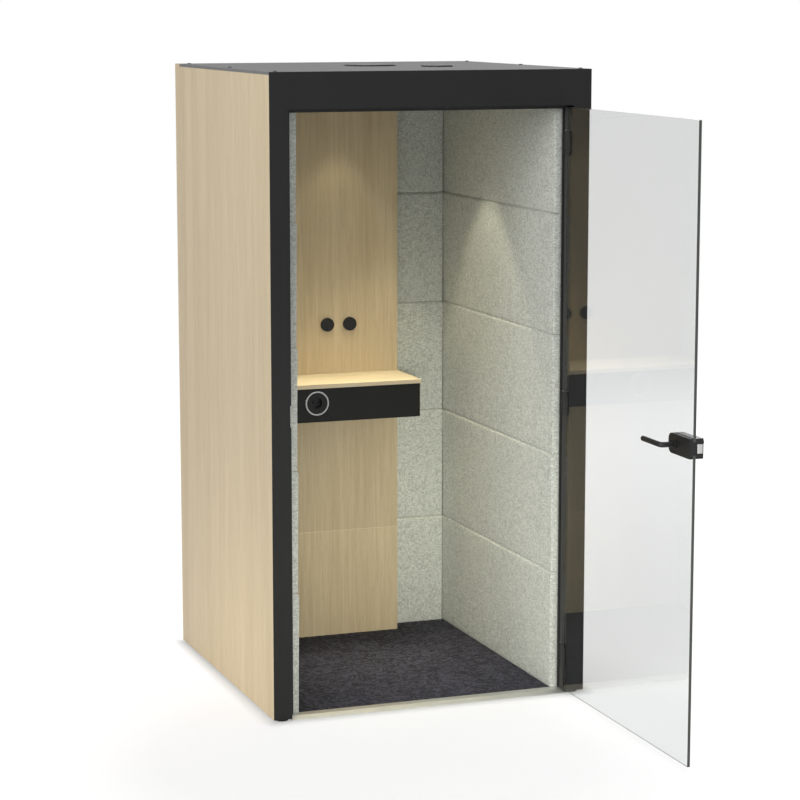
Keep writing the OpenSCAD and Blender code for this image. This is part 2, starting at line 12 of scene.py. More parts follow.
import bmesh
import bpy
import numpy as np
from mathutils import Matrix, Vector


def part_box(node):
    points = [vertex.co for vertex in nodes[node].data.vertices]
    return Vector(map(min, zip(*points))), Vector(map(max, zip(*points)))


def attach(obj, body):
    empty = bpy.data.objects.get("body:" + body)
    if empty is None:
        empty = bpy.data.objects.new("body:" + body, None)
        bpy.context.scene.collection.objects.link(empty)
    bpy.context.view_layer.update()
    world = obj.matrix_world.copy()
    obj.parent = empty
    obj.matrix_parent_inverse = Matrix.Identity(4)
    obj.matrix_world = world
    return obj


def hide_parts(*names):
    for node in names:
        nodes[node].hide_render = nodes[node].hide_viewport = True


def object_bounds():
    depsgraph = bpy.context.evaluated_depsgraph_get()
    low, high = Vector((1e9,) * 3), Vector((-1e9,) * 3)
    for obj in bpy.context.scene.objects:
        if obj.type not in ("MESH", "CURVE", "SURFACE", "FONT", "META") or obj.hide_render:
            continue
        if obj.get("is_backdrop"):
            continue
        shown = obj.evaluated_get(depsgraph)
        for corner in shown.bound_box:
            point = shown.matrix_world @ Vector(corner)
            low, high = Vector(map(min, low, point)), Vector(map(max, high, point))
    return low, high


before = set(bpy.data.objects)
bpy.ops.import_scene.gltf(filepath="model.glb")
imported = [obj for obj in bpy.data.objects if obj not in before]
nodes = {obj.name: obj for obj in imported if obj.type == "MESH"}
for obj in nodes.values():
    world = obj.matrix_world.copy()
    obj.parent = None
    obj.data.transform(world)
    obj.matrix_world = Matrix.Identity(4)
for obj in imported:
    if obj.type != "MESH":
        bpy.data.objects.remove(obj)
cad_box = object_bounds()
scene = bpy.context.scene
scene.view_settings.view_transform = "Standard"
print("loaded", len(nodes), "nodes in a box of", [round(v, 3) for v in cad_box[1] - cad_box[0]])

# %% [markdown]
# ## Camera
#
# The photograph was taken from the left of the pod and from above its roof, with a long lens. A long lens
# far away keeps the box's edges almost parallel. The camera is turned down at the pod and has no lens
# shift, so that the same camera still frames the pod when it is carried round to another side.

# %% Camera
CAMERA_PLACE = (-3.07, -8.634, 2.476)
CAMERA_DOWN = math.radians(9.08)
CAMERA_RIGHT = math.radians(20.134)
CAMERA_LENS_MM = 112.76
SENSOR_MM = 36

camera = bpy.data.objects.new("camera", bpy.data.cameras.new("camera"))
scene.collection.objects.link(camera)
camera.location = CAMERA_PLACE
camera.rotation_euler = (math.pi / 2 - CAMERA_DOWN, 0, -CAMERA_RIGHT)
camera.data.sensor_width = SENSOR_MM
camera.data.lens = CAMERA_LENS_MM
scene.camera = camera
pod_middle = (cad_box[0] + cad_box[1]) / 2
print("camera is", round((camera.location - pod_middle).length, 2), "m from the pod's middle")

# %% [markdown]
# ## Writing shaders as sums
#
# A material is a small program made of nodes. This class wraps one output socket, so that `0.3 + 0.5 *
# grain` adds the Math nodes by itself. Every other node comes from its `node` method.

# %% Sockets that can be added and multiplied
# A Mix node has sockets for each kind of value, and these are the numbers of its colour sockets
MIX_FACTOR, MIX_FIRST, MIX_SECOND, MIX_RESULT = 0, 6, 7, 2


class Flow:
    """One socket of a node tree. Operators on it add Math nodes, and node() adds a node of any other kind."""

    def __init__(self, tree, socket=None):
        self.tree = tree
        self.socket = socket

    def node(self, kind, sockets=None, out=0, **settings):
        made = self.tree.nodes.new(kind)
        for name, value in settings.items():
            setattr(made, name, value)
        for key, value in (sockets or {}).items():
            self.plug(made.inputs[key], value)
        return Flow(self.tree, made.outputs[out])

    def plug(self, target, value):
        if isinstance(value, Flow):
            self.tree.links.new(value.socket, target)
        else:
            target.default_value = value

    def math(self, operation, first, second=0.0):
        return self.node("ShaderNodeMath", {0: first, 1: second}, operation=operation)

    def vector(self, operation, first, second=(0, 0, 0), out="Vector"):
        return self.node("ShaderNodeVectorMath", {0: first, 1: second}, out=out, operation=operation)

    def __add__(self, other):
        return self.math("ADD", self, other)

    def __mul__(self, other):
        return self.math("MULTIPLY", self, other)

    def __sub__(self, other):
        return self.math("SUBTRACT", self, other)

    def __rsub__(self, other):
        return self.math("SUBTRACT", other, self)

    __radd__ = __add__
    __rmul__ = __mul__

    def larger(self, other):
        return self.math("MAXIMUM", self, other)

    def between(self, low, high):
        """0 where this value is low, 1 where it is high, and held there outside."""
        return self.node("ShaderNodeMapRange", {"Value": self, "From Min": low, "From Max": high})

    def tint(self, first, second):
        """The first colour where this value is 0, and the second where it is 1."""
        ends = [c if isinstance(c, Flow) else (*c, 1) for c in (first, second)]
        sockets = {MIX_FACTOR: self, MIX_FIRST: ends[0], MIX_SECOND: ends[1]}
        return self.node("ShaderNodeMix", sockets, out=MIX_RESULT, data_type="RGBA")


print("operators ready:", [n for n in vars(Flow) if n.startswith("__r")])

# %% [markdown]
# ## A finish and its parts
#
# Patterns sit on Object coordinates, which are metres in the pod's own frame, so a scale of 100 gives marks
# of about 10 mm. Stretching the coordinates along one axis draws the marks out into grain or brushing. A
# small Bevel node rounds the shading of sharp machined edges, as paint and sanding do.

# %% Helpers for finishes
BEVEL_SAMPLES = 4


class Finish(Flow):
    """A material with one Principled surface."""

    def __init__(self, name):
        self.material = bpy.data.materials.new(name)
        self.material.use_nodes = True
        super().__init__(self.material.node_tree)
        self.surface = self.tree.nodes["Principled BSDF"]

    def noise(self, scale, stretch=(1, 1, 1), detail=2.0, rough=0.5, bend=0.0):
        place = self.node("ShaderNodeTexCoord", out="Object")
        place = self.node("ShaderNodeMapping", {"Vector": place, "Scale": stretch})
        return self.node("ShaderNodeTexNoise", {"Vector": place, "Scale": scale, "Detail": detail,
                                                "Roughness": rough, "Distortion": bend})

    def bumps(self, height, depth, strength, edge=0.0):
        """Normals of a surface with that height, depth metres deep, with edges rounded by edge metres."""
        sockets = {"Height": height, "Distance": depth, "Strength": strength}
        if edge:
            sockets["Normal"] = self.node("ShaderNodeBevel", {"Radius": edge}, samples=BEVEL_SAMPLES)
        return self.node("ShaderNodeBump", sockets)

    def done(self, **sockets):
        for key, value in sockets.items():
            self.plug(self.surface.inputs[key.replace("_", " ")], value)
        return self.material


def grey(value):
    return (value, value, value)


def drawn_out(axis, share):
    """A stretch that draws marks out along one axis."""
    return [share if i == axis else 1.0 for i in range(3)]


def dress(material, *names):
    """Gives CAD nodes their finish."""
    for name in names:
        nodes[name].data.materials.clear()
        nodes[name].data.materials.append(material)


print("finishes have", [n for n in vars(Finish) if not n.startswith("_")])

# %% [markdown]
# ## Studio
#
# A white studio: the world lights the pod softly from all round, a large lamp on either side gives the
# walls their direction, and two narrow lamps light the inside and the foot of the left wall. The floor is
# white. The camera, mirrors and glass see the world at strength 1, which is plain white, while the light
# that falls on the pod is weaker. The floor glows to those same rays, and its glow paints shadows: little
# at the pod's foot, a painted dark contact shadow there, more before the door, a painted soft shadow
# there, and most away from the pod, until it meets the white world.

# %% Studio
WORLD_LIGHT = 0.4
FLOOR_WHITE = 0.86
FLOOR_SEEN = 0.45
# Painted shadow: the floor glows less near the pod than far away, and least at the pod's foot.
SHADED_FLOOR_GLOW = 0.6
FAR_GLOW = 0.82
SHADE_MIDDLE = (-0.4, -1.05, 0.0)
SHADE_NEAR = 0.7
SHADE_FAR = 1.6
FOOT_HALF = (0.588, 0.6, 1.0)
FOOT_SHADOW_REACH = 0.05
FOOT_SHADOW_GLOW = 0.34
FLOOR_HALF = 40
FLOOR_DROP = 0.0005
SOFTBOX_SIZE = 3.5
SOFTBOX_TARGET = (0, 0, 1.0)


def seen_directly(flow):
    """1 for rays that show the background itself: to the camera, in mirrors and through glass."""
    rays = [flow.node("ShaderNodeLightPath", out=f"Is {kind} Ray")
            for kind in ("Camera", "Glossy", "Transmission")]
    return rays[0].larger(rays[1]).larger(rays[2])


def floor_finish():
    floor = Finish("studio floor")
    seen = seen_directly(floor)
    point = floor.node("ShaderNodeTexCoord", out="Object")
    # Painted shadow: the glow is lower before the door and lowest close round the pod's foot.
    away = floor.vector("DISTANCE", point, SHADE_MIDDLE, out="Value").between(SHADE_NEAR, SHADE_FAR)
    past_pod = floor.vector("SUBTRACT", floor.vector("ABSOLUTE", point), FOOT_HALF)
    past_pod = floor.vector("LENGTH", floor.vector("MAXIMUM", past_pod), out="Value")
    glow = away.tint(grey(SHADED_FLOOR_GLOW), grey(FAR_GLOW))
    glow = past_pod.between(0, FOOT_SHADOW_REACH).tint(grey(FOOT_SHADOW_GLOW), glow)
    return floor.done(Base_Color=seen.tint(grey(FLOOR_WHITE), grey(FLOOR_SEEN)), Roughness=0.9,
                      Specular_IOR_Level=0.0, Emission_Color=seen.tint(grey(0), glow), Emission_Strength=1.0)


def lamp(name, kind, place, target, power, colour=(1, 1, 1), **settings):
    made = bpy.data.objects.new(name, bpy.data.lights.new(name, kind))
    made.location = place
    made.rotation_euler = (Vector(target) - Vector(place)).to_track_quat("-Z", "Y").to_euler()
    made.data.energy = power
    made.data.color = colour
    for key, value in settings.items():
        setattr(made.data, key, value)
    made.visible_transmission = False
    scene.collection.objects.link(made)


world = bpy.data.worlds.new("studio")
world.use_nodes = True
scene.world = world
sky = Flow(world.node_tree)
background = world.node_tree.nodes["Background"]
background.inputs["Color"].default_value = (1, 1, 1, 1)
sky.plug(background.inputs["Strength"], WORLD_LIGHT + (1 - WORLD_LIGHT) * seen_directly(sky))

floor_mesh = bpy.data.meshes.new("studio_floor")
corners = [(x * FLOOR_HALF, y * FLOOR_HALF, -FLOOR_DROP) for x, y in ((-1, -1), (1, -1), (1, 1), (-1, 1))]
floor_mesh.from_pydata(corners, [], [(0, 1, 2, 3)])
floor_mesh.materials.append(floor_finish())
floor = bpy.data.objects.new("studio_floor", floor_mesh)
scene.collection.objects.link(floor)
floor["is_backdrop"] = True

lamp("left_softbox", "AREA", place=(-5.0, -3.5, 4.0), target=SOFTBOX_TARGET, power=210, size=SOFTBOX_SIZE)
lamp("right_softbox", "AREA", place=(5.0, 4.0, 4.0), target=SOFTBOX_TARGET, power=150, size=SOFTBOX_SIZE)
lamp("front_snoot", "SPOT", place=(-1.45, -5.3, 1.15), target=(0.22, 0.1, 0.42), power=700,
     colour=(1.0, 0.98, 0.87), spot_size=math.radians(20), spot_blend=1.0, shadow_soft_size=0.6)
lamp("low_snoot", "SPOT", place=(-2.6, -1.0, 0.6), target=(-0.588, -0.1, 0.05), power=50,
     colour=(1.0, 0.93, 0.8), spot_size=math.radians(42), spot_blend=1.0, shadow_soft_size=0.4)

# %% [markdown]
# ## Ceiling lights
#
# Four warm lights in the ceiling throw cones down the walls, and the cones' edges are what shows of them.
# Each is a spot lamp just under its lens, with a soft edge. A faint wide lamp between them lights what lies
# below.

# %% Ceiling lights
WARM = (1.0, 0.94, 0.68)
CONE = math.radians(62)
CONE_EDGE = 0.3
CONE_WATTS = (9.0, 2.2, 4.0, 4.0)
CONE_SOFT = 0.025
CONE_DROP = 0.02
LENS_R = 0.031
WASH_WATTS = 2.2
WASH_SPREAD = math.radians(30)
WASH_DROP = 0.03
WASH_MORE = 0.25

lens_low, lens_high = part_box("downlight_lenses")
middle = (lens_low + lens_high) / 2
ring = (lens_high.x - lens_low.x) / 2 - LENS_R
for i, watts in enumerate(CONE_WATTS):
    angle = i * math.pi / 2
    x = middle.x + ring * math.cos(angle)
    y = middle.y + ring * math.sin(angle)
    lamp(f"ceiling_light_{i + 1}", "SPOT", place=(x, y, lens_low.z - CONE_DROP), target=(x, y, 0),
         power=watts, colour=WARM, spot_size=CONE, spot_blend=CONE_EDGE, shadow_soft_size=CONE_SOFT)
lamp("ceiling_wash", "AREA", place=(middle.x, middle.y, lens_low.z - WASH_DROP),
     target=(middle.x, middle.y, 0), power=WASH_WATTS, colour=WARM, size=2 * ring + WASH_MORE,
     spread=WASH_SPREAD)
print("ceiling lights on a ring of", round(ring, 3), "m")

# %% [markdown]
# ## Wood
#
# The shell, the duct and the worktop have pale oak veneer. Noise drawn out along the grain gives broad
# bands of tone, fine streaks inside them and thin dark pores. The grain runs up the walls and along the
# worktop. The worktop is paler. The duct's lower board is painted paler too, as painted light against the
# worktop's shade on it, and its edge band far paler, as a painted highlight along the seam. So the
# function takes the grain's axis and the two tones.

# %% Wood veneer
GRAIN_STRETCH = 0.03
WOOD_LIGHT = (0.64, 0.525, 0.345)
WOOD_DARK = (0.52, 0.41, 0.25)
# Painted light: the lower board's tones are a paler copy of the walls', lifting it out of the worktop's
# shade.
LOWER_PAINTED_PALE = (0.7, 0.575, 0.375)
LOWER_PAINTED_DARK = (0.575, 0.455, 0.275)
# Painted highlight: the edge band's tones are far paler than the wood's, to show a bright line along the
# seam.
BAND_HIGHLIGHT_PALE = (0.92, 0.8, 0.56)
BAND_HIGHLIGHT_DARK = (0.82, 0.7, 0.48)
TOP_LIGHT = (0.67, 0.565, 0.41)
TOP_DARK = (0.56, 0.455, 0.31)
PORE = (0.37, 0.275, 0.165)


def wood_veneer(name, grain_axis, light, dark):
    wood = Finish(name)
    stretch = drawn_out(grain_axis, GRAIN_STRETCH)
    bands = wood.noise(11, stretch, detail=3, bend=0.6)
    streaks = wood.noise(140, stretch, detail=4, rough=0.6)
    pores = wood.noise(800, stretch, detail=1).between(0.6, 0.72)
    tone = (0.4 * bands + 0.6 * streaks).between(0.36, 0.63)
    colour = (0.35 * pores).tint(tone.tint(dark, light), PORE)
    return wood.done(Base_Color=colour, Roughness=0.42 + 0.16 * streaks + 0.1 * pores,
                     Normal=wood.bumps(streaks - 0.5 * pores, 0.00015, 0.25, edge=0.0012))


upright_wood = wood_veneer("wood veneer upright", 2, WOOD_LIGHT, WOOD_DARK)
# Painted light: the lower board's veneer is painted paler than the walls' veneer.
lower_wood_painted_lighter = wood_veneer("wood veneer lower board painted lighter", 2, LOWER_PAINTED_PALE, LOWER_PAINTED_DARK)
level_wood = wood_veneer("wood veneer level", 0, TOP_LIGHT, TOP_DARK)
# Painted highlight: the edge band's veneer is painted far paler than the rest of the wood.
band_wood_painted_highlight = wood_veneer("wood edge band with painted highlight", 0, BAND_HIGHLIGHT_PALE, BAND_HIGHLIGHT_DARK)
dress(upright_wood, "left_outer_panel", "right_outer_panel", "rear_outer_panel", "duct_front_upper",
      "duct_side")
dress(lower_wood_painted_lighter, "duct_front_lower")
dress(level_wood, "worktop")
print("wood has", len(upright_wood.node_tree.nodes), "nodes")

# %% [markdown]
# ## Painted metal, hardware and plastic
#
# The frame has a fine-textured black powder coat, which scatters light from thousands of tiny bumps. The
# hinges, lock and levers are smoother. Plastic pieces have a moulded grain. All share one recipe: colour
# that drifts a little, roughness that drifts with it, a bump and a rounded edge.

# %% Painted and moulded finishes
def coated(name, colour, rough, grain, depth, edge, shine=0.5, drift=0.18):
    """A coat with bumps of the scale grain, where depth and edge are metres and drift is the colour's."""
    coat = Finish(name)
    slow = coat.noise(9, detail=3)
    fine = coat.noise(grain, detail=3, rough=0.6)
    paler = tuple(c * (1 + drift) for c in colour)
    return coat.done(Base_Color=(0.5 * slow + 0.5 * fine).between(0.3, 0.7).tint(colour, paler),
                     Roughness=(rough - 0.05) + 0.06 * slow + 0.05 * fine, Specular_IOR_Level=shine,
                     Normal=coat.bumps(fine, depth, 0.08, edge=edge))


frame_black = coated("frame powder coat", grey(0.0105), rough=0.46, grain=1400, depth=0.0002, edge=0.0012,
                     shine=0.25)
hardware_black = coated("satin black hardware", (0.012, 0.012, 0.013), rough=0.36, grain=2500, depth=0.0001,
                        edge=0.001, shine=0.35)
box_black = coated("black sheet box", (0.0098, 0.0098, 0.0092), rough=0.5, grain=1600, depth=0.00015,
                   edge=0.001, shine=0.2)
roof_grey = coated("roof coat", grey(0.115), rough=0.6, grain=700, depth=0.0003, edge=0.0015)
cover_grey = coated("roof cover coat", (0.09, 0.09, 0.092), rough=0.5, grain=900, depth=0.0002, edge=0.001)
ceiling_white = coated("ceiling coat", (0.38, 0.38, 0.365), rough=0.6, grain=900, depth=0.0002, edge=0.001,
                       drift=0.05)
socket_black = coated("socket plastic", (0.0085, 0.0085, 0.009), rough=0.1, grain=3000, depth=0.00002,
                      edge=0.003, shine=0.2)
knob_black = coated("knob plastic", grey(0.008), rough=0.42, grain=2200, depth=0.0001, edge=0.0012, shine=0.3)
fan_black = coated("fan plastic", grey(0.022), rough=0.5, grain=1500, depth=0.0001, edge=0.0008)
seal_rubber = coated("seal rubber", grey(0.012), rough=0.7, grain=1200, depth=0.0002, edge=0.001)
strip_grey = coated("edge strip", grey(0.028), rough=0.5, grain=1200, depth=0.0001, edge=0.0001)
core_board = coated("core board", (0.5, 0.42, 0.3), rough=0.8, grain=300, depth=0.0005, edge=0.001)
dress(frame_black, "left_jamb", "right_jamb", "head_beam", "front_feet", "base_plate")
dress(hardware_black, "hinge_frame_leaves", "hinge_door_leaves", "hinge_outer_plates", "lock_inner_cover",
      "lock_outer_body", "lever_inner", "lever_outer")
dress(box_black, "worktop_box")
dress(roof_grey, "roof_panel")
dress(cover_grey, "roof_covers", "roof_screws")
dress(ceiling_white, "ceiling_panel", "ceiling_grilles", "downlight_cans")
dress(socket_black, "socket_insert")
dress(knob_black, "light_knob", "fan_knob")
dress(fan_black, "fan_housing", "fan_rotor")
dress(seal_rubber, "door_seal")
dress(core_board, "left_wall_core", "right_wall_core", "rear_wall_core")
print("painted and moulded finishes ready")

# %% [markdown]
# ## Bare metal
#
# Brushed steel is noise drawn out along the brushing. The threshold is paler and duller, so it mirrors the
# wood behind it softly, and the socket's ring is darker.

# %% Bare metal
BRUSH_STRETCH = 0.02


def brushed(name, colour, rough, axis):
    metal = Finish(name)
    stretch = drawn_out(axis, BRUSH_STRETCH)
    lines = metal.noise(1800, stretch, detail=3, rough=0.7)
    slow = metal.noise(14)
    darker = tuple(0.86 * c for c in colour)
    tone = (0.6 * lines + 0.4 * slow).between(0.3, 0.7)
    return metal.done(Base_Color=tone.tint(darker, colour), Metallic=1.0,
                      Roughness=(rough - 0.04) + 0.1 * lines + 0.03 * slow,
                      Normal=metal.bumps(lines, 0.00004, 0.5, edge=0.0006))


bright_steel = brushed("brushed steel", (0.6, 0.6, 0.59), rough=0.26, axis=2)
threshold_metal = brushed("threshold metal", (0.75, 0.755, 0.75), rough=0.42, axis=0)
ring_metal = brushed("satin ring", grey(0.36), rough=0.24, axis=1)
dress(bright_steel, "hinge_pins", "hinge_screws", "lever_spindle", "latch_bolt", "strike_plate")
dress(threshold_metal, "threshold")
dress(ring_metal, "socket_ring")
print("bare metals ready")

# %% [markdown]
# ## Glass and lenses
#
# The door is a solid sheet of clear toughened glass, so its faces mirror and bend light by themselves. Rays
# towards the lamps pass it straight, so that the lamps also light what is behind it. Its ground edges are
# dull and greenish, and the surface's own normal tells them from the faces. The lenses are opal discs that
# glow.

# %% Glass and lenses
GLASS_TINT = (0.79, 0.805, 0.807, 1)
GLASS_TO_LAMP = (0.82, 0.84, 0.83, 1)
GROUND_DARK = (0.045, 0.05, 0.045)
GROUND_PALE = (0.11, 0.12, 0.105)
OPAL = (0.9, 0.86, 0.76, 1)
OPAL_GLOW_DEEP = (1.0, 0.86, 0.6)
OPAL_GLOW_PALE = (1.0, 0.9, 0.68)


def glass_finish():
    glass = Finish("door glass")
    glass.done(Base_Color=GLASS_TINT, Roughness=0.0, IOR=1.35, Transmission_Weight=1.0)
    facing = glass.node("ShaderNodeSeparateXYZ", {0: glass.node("ShaderNodeTexCoord", out="Normal")})
    rim = 1 - glass.math("ABSOLUTE", facing).between(0.3, 0.7)
    ground = glass.noise(600).tint(GROUND_DARK, GROUND_PALE)
    edge = glass.node("ShaderNodeBsdfPrincipled", {"Base Color": ground, "Roughness": 0.3, "IOR": 1.45})
    face = Flow(glass.tree, glass.surface.outputs[0])
    both = glass.node("ShaderNodeMixShader", {0: rim, 1: face, 2: edge})
    straight = glass.node("ShaderNodeBsdfTransparent", {"Color": GLASS_TO_LAMP})
    to_lamp = glass.node("ShaderNodeLightPath", out="Is Shadow Ray")
    whole = glass.node("ShaderNodeMixShader", {0: to_lamp, 1: both, 2: straight})
    glass.plug(glass.tree.nodes["Material Output"].inputs["Surface"], whole)
    return glass.material


def lens_finish():
    lens = Finish("opal lens")
    glow = lens.noise(120).tint(OPAL_GLOW_DEEP, OPAL_GLOW_PALE)
    return lens.done(Base_Color=OPAL, Roughness=0.35, Emission_Strength=2.0, Emission_Color=glow)


dress(glass_finish(), "door_glass")
dress(lens_finish(), "downlight_lenses")
print("glass and lenses ready")

# %% [markdown]
# ## Felt
#
# The lining is light grey melange felt: wool of several greys pressed together. Short marks drawn out
# upright and level give the mixed fibres, with dark flecks among them, and a soft bump gives the pressed
# surface.

# %% Felt finish
FELT_DARK = (0.45, 0.468, 0.43)
FELT_PALE = (0.77, 0.795, 0.735)
FELT_FLECK = (0.33, 0.345, 0.32)


def felt_finish():
    wool = Finish("grey melange felt")
    upright = wool.noise(330, (1, 1, 0.2), rough=0.6)
    level = wool.noise(350, (0.2, 0.2, 1), rough=0.6)
    clumps = wool.noise(30)
    fine = wool.noise(800, rough=0.7)
    mixed = (0.45 * upright + 0.45 * level + 0.1 * clumps).between(0.42, 0.58)
    fleck = (0.7 * upright + 0.3 * clumps).between(0.58, 0.68)
    colour = (0.5 * fleck).tint(mixed.tint(FELT_DARK, FELT_PALE), FELT_FLECK)
    height = 0.3 * fine + 0.35 * upright + 0.35 * level
    return wool.done(Base_Color=colour, Roughness=0.93, Sheen_Weight=0.15, Sheen_Roughness=0.5,
                     Specular_IOR_Level=0.2, Normal=wool.bumps(height, 0.0014, 0.6))


felt = felt_finish()
print("felt has", len(felt.node_tree.nodes), "nodes")

# %% [markdown]
# ## Felt pads
#
# Each wall carries rows of felt-covered pads. A pad is a board with soft filling under a tight cover, so
# its face is almost flat, crowned a little, and rolls over at the edges. The top edge slopes back and
# stands out further than the pad above, so it catches the light from the ceiling. A grid with lines close
# together at the rim makes the cover, and a short cloth simulation blows it up while its back stays pinned
# to the wall. The blown shape is then held to about a millimetre, because a tight cover can't swell
# further. Pads of one size share one simulation.

# %% Felt pads
PAD_ROWS = 5
WALLS = {"left": ((0, 1, 0), (1, 0, 0)), "right": ((0, 1, 0), (-1, 0, 0)), "rear": ((1, 0, 0), (0, -1, 0))}
PAD_ROUND = 0.002
TOP_HIGH = 0.0075
TOP_DEEP = 0.0075
PAD_STEP = 0.018
PAD_SWELL = 0.0012
SIDEWAYS_SHARE = 0.2
PAD_EDGE_LINES = np.array([0.0, 0.0003, 0.001, 0.002, 0.0045, 0.007, 0.0079, 0.01])
PAD_CLEAR = 0.0002
PAD_RISE = 0.0014
PAD_LEAN = 0.004
SIMULATED_FRAMES = 16


def grid_lines(size):
    count = round((size - 2 * PAD_EDGE_LINES[-1]) / PAD_STEP)
    inner = np.linspace(PAD_EDGE_LINES[-1], size - PAD_EDGE_LINES[-1], count + 1)[1:-1]
    return np.concatenate([PAD_EDGE_LINES, inner, size - PAD_EDGE_LINES[::-1]])


def rounded(inward):
    """How far the cover lies under its face, by the distance inward from an edge."""
    near = np.clip(1 - inward / PAD_ROUND, 0, 1)
    return PAD_ROUND * (1 - np.sqrt(1 - near ** 2))


def sloped(inward):
    """The same for the top edge."""
    return TOP_DEEP * np.clip(1 - inward / TOP_HIGH, 0, 1)


def pad_cover(length, height, depth):
    """Points and faces of a pad that lies on w = 0, with u along its length and v up.

    The points of its face come first, and their number is returned too.
    """
    u, v = np.meshgrid(grid_lines(length), grid_lines(height), indexing="ij")
    along = rounded(u) + rounded(length - u)
    up = rounded(v) + sloped(height - v)
    pull = 0.5 * np.minimum(along, up)
    u = u + pull * np.sign(length / 2 - u)
    v = v + pull * np.sign(height / 2 - v)
    w = depth - np.maximum(along, up) - PAD_LEAN * (1 - v / height)
    face = np.stack([u, v, w], -1)
    rows, columns = u.shape
    index = np.arange(rows * columns).reshape(rows, columns)
    faces = [(index[i, j], index[i + 1, j], index[i + 1, j + 1], index[i, j + 1])
             for i in range(rows - 1) for j in range(columns - 1)]
    rim = [*index[:-1, 0], *index[-1, :-1], *index[:0:-1, -1], *index[0, :0:-1]]
    points = face.reshape(-1, 3)
    for level in (0.5 * (depth - TOP_DEEP), 0.0):
        lower = np.arange(len(points), len(points) + len(rim))
        points = np.vstack([points, points[rim] * (1, 1, 0) + (0, 0, level)])
        faces += [(rim[k - 1], lower[k - 1], lower[k], rim[k]) for k in range(len(rim))]
        rim = list(lower)
    return points, faces + [rim[::-1]], rows * columns


def add_mesh(name, points, faces, material, smooth=True):
    mesh = bpy.data.meshes.new(name)
    mesh.from_pydata([tuple(p) for p in points], [], [tuple(int(i) for i in f) for f in faces])
    mesh.polygons.foreach_set("use_smooth", [smooth] * len(faces))
    mesh.materials.append(material)
    made = bpy.data.objects.new(name, mesh)
    scene.collection.objects.link(made)
    return made


def blown(points, faces, free):
    """The cover's points after a short cloth simulation with air inside.

    The first points, as many as free says, can move, and the others are pinned.
    """
    cover = add_mesh("pad_trial", points, faces, felt)
    pins = cover.vertex_groups.new(name="pins")
    pins.add(list(range(free, len(points))), 1.0, "REPLACE")
    cloth = cover.modifiers.new("cover", "CLOTH")
    cloth.settings.vertex_group_mass = "pins"
    cloth.settings.use_pressure = True
    cloth.settings.uniform_pressure_force = 4.0
    cloth.settings.tension_stiffness = 60
    cloth.settings.bending_stiffness = 8
    cloth.settings.effector_weights.gravity = 0
    cloth.collision_settings.use_collision = False
    cloth.point_cache.frame_end = SIMULATED_FRAMES
    for number in range(1, SIMULATED_FRAMES + 1):
        scene.frame_set(number)
    shown = cover.evaluated_get(bpy.context.evaluated_depsgraph_get())
    result = np.array([v.co for v in shown.data.vertices])
    scene.frame_set(1)
    bpy.data.objects.remove(cover)
    return result


def swollen(length, height, depth):
    points, faces, free = pad_cover(length, height, depth - PAD_SWELL)
    moved = blown(points, faces, free) - points
    reach = np.linalg.norm(moved, axis=1, keepdims=True)
    held = PAD_SWELL * (1 - np.exp(-reach / PAD_SWELL))
    moved *= held / np.maximum(reach, 1e-9)
    moved[:, :2] *= SIDEWAYS_SHARE
    print("pad cover moved up to", round(1000 * reach.max(), 1), "mm, held to", round(1000 * held.max(), 1))
    return points + moved, faces


def hang_pad(name, shape, corner, along, out):
    """A pad at its place: along is its length's direction and out its face's."""
    points, faces = shape
    axes = np.array([along, (0, 0, 1), out], float)
    if np.linalg.det(axes) < 0:
        faces = [f[::-1] for f in faces]
    pad = add_mesh(name, points @ axes + np.array(corner), faces, felt)
    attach(pad, "cabin")
    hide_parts(name.replace("felt_", ""))


shapes = {}
for wall, (along, out) in WALLS.items():
    for row in range(1, PAD_ROWS + 1):
        low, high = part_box(f"{wall}_pad_{row}")
        size = high - low
        length = abs(size.dot(Vector(along))) - 2 * PAD_CLEAR
        depth = abs(size.dot(Vector(out)))
        key = (round(length, 4), round(size.z, 4), round(depth, 4))
        if key not in shapes:
            shapes[key] = swollen(length, size.z + PAD_RISE - 2 * PAD_CLEAR, depth)
        back = Vector([high[i] if out[i] < 0 else low[i] for i in range(3)])
        corner = back + PAD_CLEAR * (Vector(along) + Vector((0, 0, 1)))
        hang_pad(f"felt_{wall}_pad_{row}", shapes[key], corner, along, out)
print(len(WALLS) * PAD_ROWS, "pads from", len(shapes), "shapes")

# %% [markdown]
# ## Carpet
#
# A dark loop-pile carpet lies on the base plate. Its loops stand in uneven clumps, so a Geometry Nodes tree
# lifts a fine grid by a cell pattern, and Solidify gives the carpet its backing. The pile itself is in the
# material: small loops in several dark greys, with swirling furrows sunk in the bump and painted near
# black as painted shade.

# %% Carpet
CARPET_STEP = 0.0042
PILE_HEIGHT = 0.0012
CLUMP_SIZE = 0.013
EDGE_CLEAR = 0.0008
BACKING_T = 0.003
PILE_DARK = (0.028, 0.027, 0.04)
PILE_PALE = (0.083, 0.081, 0.112)
# Painted shade: the colour down in the furrows.
FURROW_PAINTED_SHADE = (0.006, 0.006, 0.011)


def carpet_finish():
    pile = Finish("anthracite loop pile")
    place = pile.node("ShaderNodeTexCoord", out="Object")
    loops = pile.node("ShaderNodeTexVoronoi", {"Vector": place, "Scale": 260.0}, out="Distance")
    swirl = pile.noise(20, bend=1.5)
    furrow_and_shade = 1 - pile.math("ABSOLUTE", swirl - 0.5).between(0.0, 0.1)
    fleck = pile.noise(150, bend=1.0)
    colour = fleck.between(0.4, 0.66).tint(PILE_DARK, PILE_PALE)
    # Painted shade: the furrows are coloured near black, as the shade down in them.
    colour = (0.9 * furrow_and_shade).tint(colour, FURROW_PAINTED_SHADE)
    return pile.done(Base_Color=colour, Roughness=0.96, Specular_IOR_Level=0.1, Sheen_Weight=0.05,
                     Normal=pile.bumps(fleck - loops - furrow_and_shade, 0.002, 0.7))


